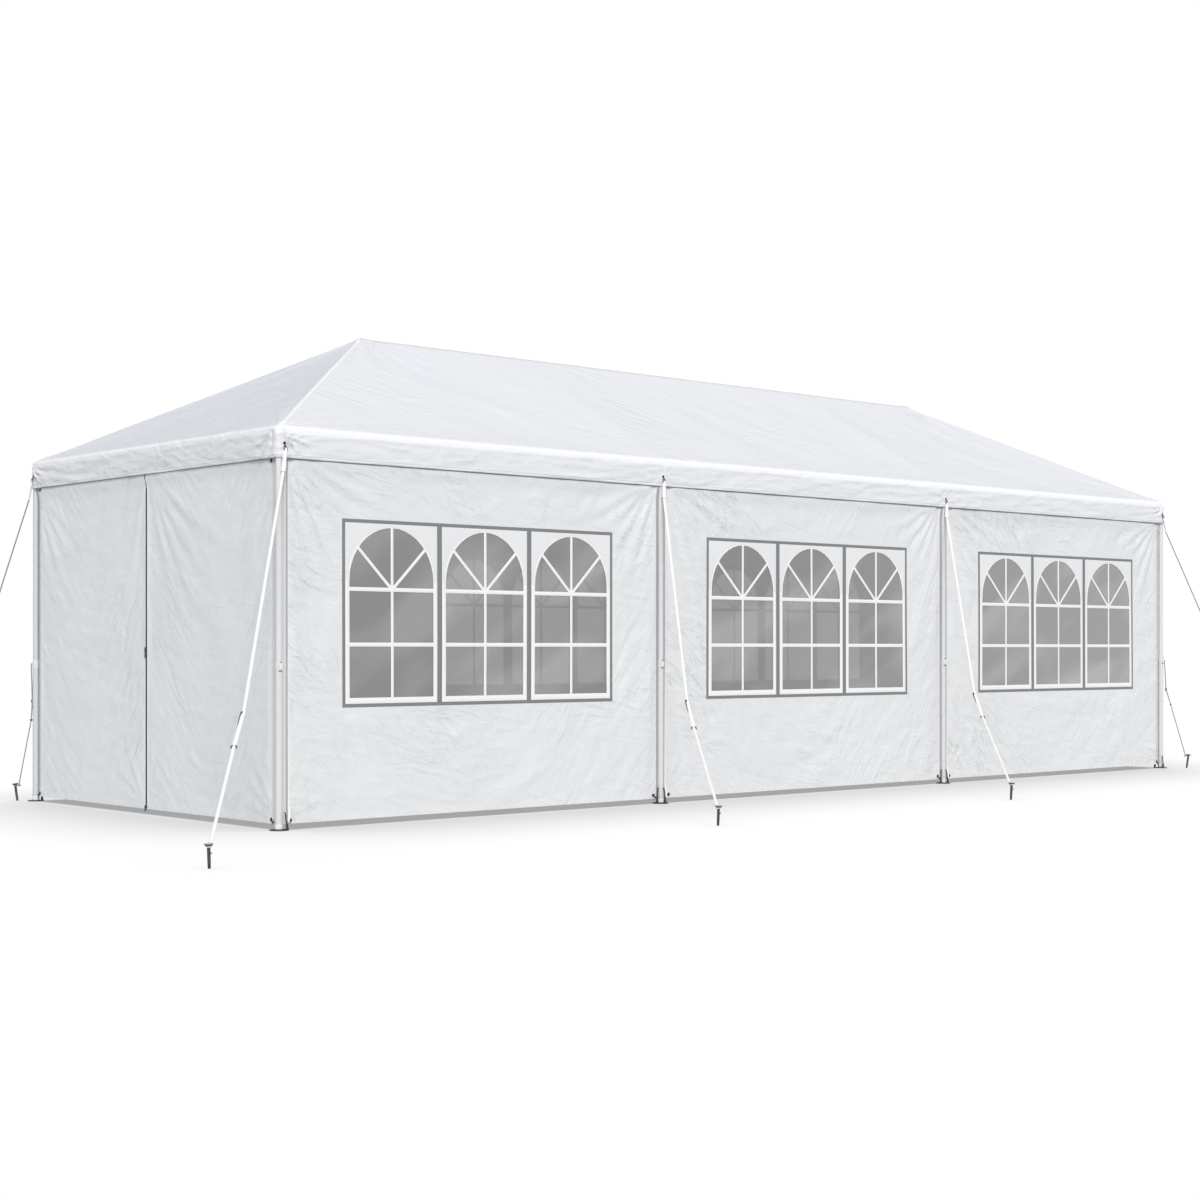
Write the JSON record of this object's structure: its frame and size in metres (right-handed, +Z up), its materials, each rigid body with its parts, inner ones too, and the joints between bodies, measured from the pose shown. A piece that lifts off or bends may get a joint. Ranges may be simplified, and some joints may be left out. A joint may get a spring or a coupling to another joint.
{
  "type": "marquee party tent",
  "caption": "Long hipped marquee tent on a steel tube frame, with window side walls, zipped end walls, foot plates and guy lines to ground stakes.",
  "frame": {"origin": "on the ground under the middle of the tent, which is also the middle of the stakes' outline", "axes": "+X along the tent's length towards the far end, +Y across it towards the back, +Z up"},
  "size_m": [11.7348, 6.0044, 3.1321],
  "materials": {
    "canopy_fabric": "smooth coated polyethylene sheet",
    "wall_fabric": "creased coated polyethylene sheet",
    "window_film": "clear smoky film with white printed bars",
    "leg_steel": "white powder coat over steel tube",
    "frame_steel": "white powder coat over steel tube",
    "rope": "braided white line",
    "stake_steel": "dark dull steel",
    "zip": "grey zip tape"
  },
  "bodies": {
    "root": {"canopy": "canopy_fabric", "front_wall_1": "wall_fabric", "front_wall_2": "wall_fabric", "front_wall_3": "wall_fabric", "front_window_1": "window_film", "front_window_2": "window_film", "front_window_3": "window_film", "back_wall_1": "wall_fabric", "back_wall_2": "wall_fabric", "back_wall_3": "wall_fabric", "back_window_1": "window_film", "back_window_2": "window_film", "back_window_3": "window_film", "near_door_flap_front": "wall_fabric", "near_door_flap_back": "wall_fabric", "near_zip": "zip", "far_door_flap_front": "wall_fabric", "far_door_flap_back": "wall_fabric", "far_zip": "zip", "leg_front_1": "leg_steel", "leg_front_2": "leg_steel", "leg_front_3": "leg_steel", "leg_front_4": "leg_steel", "leg_back_1": "leg_steel", "leg_back_2": "leg_steel", "leg_back_3": "leg_steel", "leg_back_4": "leg_steel", "eave_rail_front": "frame_steel", "eave_rail_back": "frame_steel", "end_rail_near": "frame_steel", "end_rail_far": "frame_steel", "ridge_pole": "frame_steel", "hip_rafters_near": "frame_steel", "hip_rafters_far": "frame_steel", "rafter_pair_1": "frame_steel", "rafter_pair_2": "frame_steel", "guy_line_front_1": "rope", "guy_line_front_2": "rope", "guy_line_front_3": "rope", "guy_line_front_4": "rope", "guy_line_back_1": "rope", "guy_line_back_2": "rope", "guy_line_back_3": "rope", "guy_line_back_4": "rope", "leg_stay_front_4": "rope", "leg_stay_back_1": "rope", "stake_front_1": "stake_steel", "stake_front_2": "stake_steel", "stake_front_3": "stake_steel", "stake_front_4": "stake_steel", "stake_back_1": "stake_steel", "stake_back_2": "stake_steel", "stake_back_3": "stake_steel", "stake_back_4": "stake_steel", "stay_stake_front_4": "stake_steel", "stay_stake_back_1": "stake_steel"}
  },
  "joints": []
}
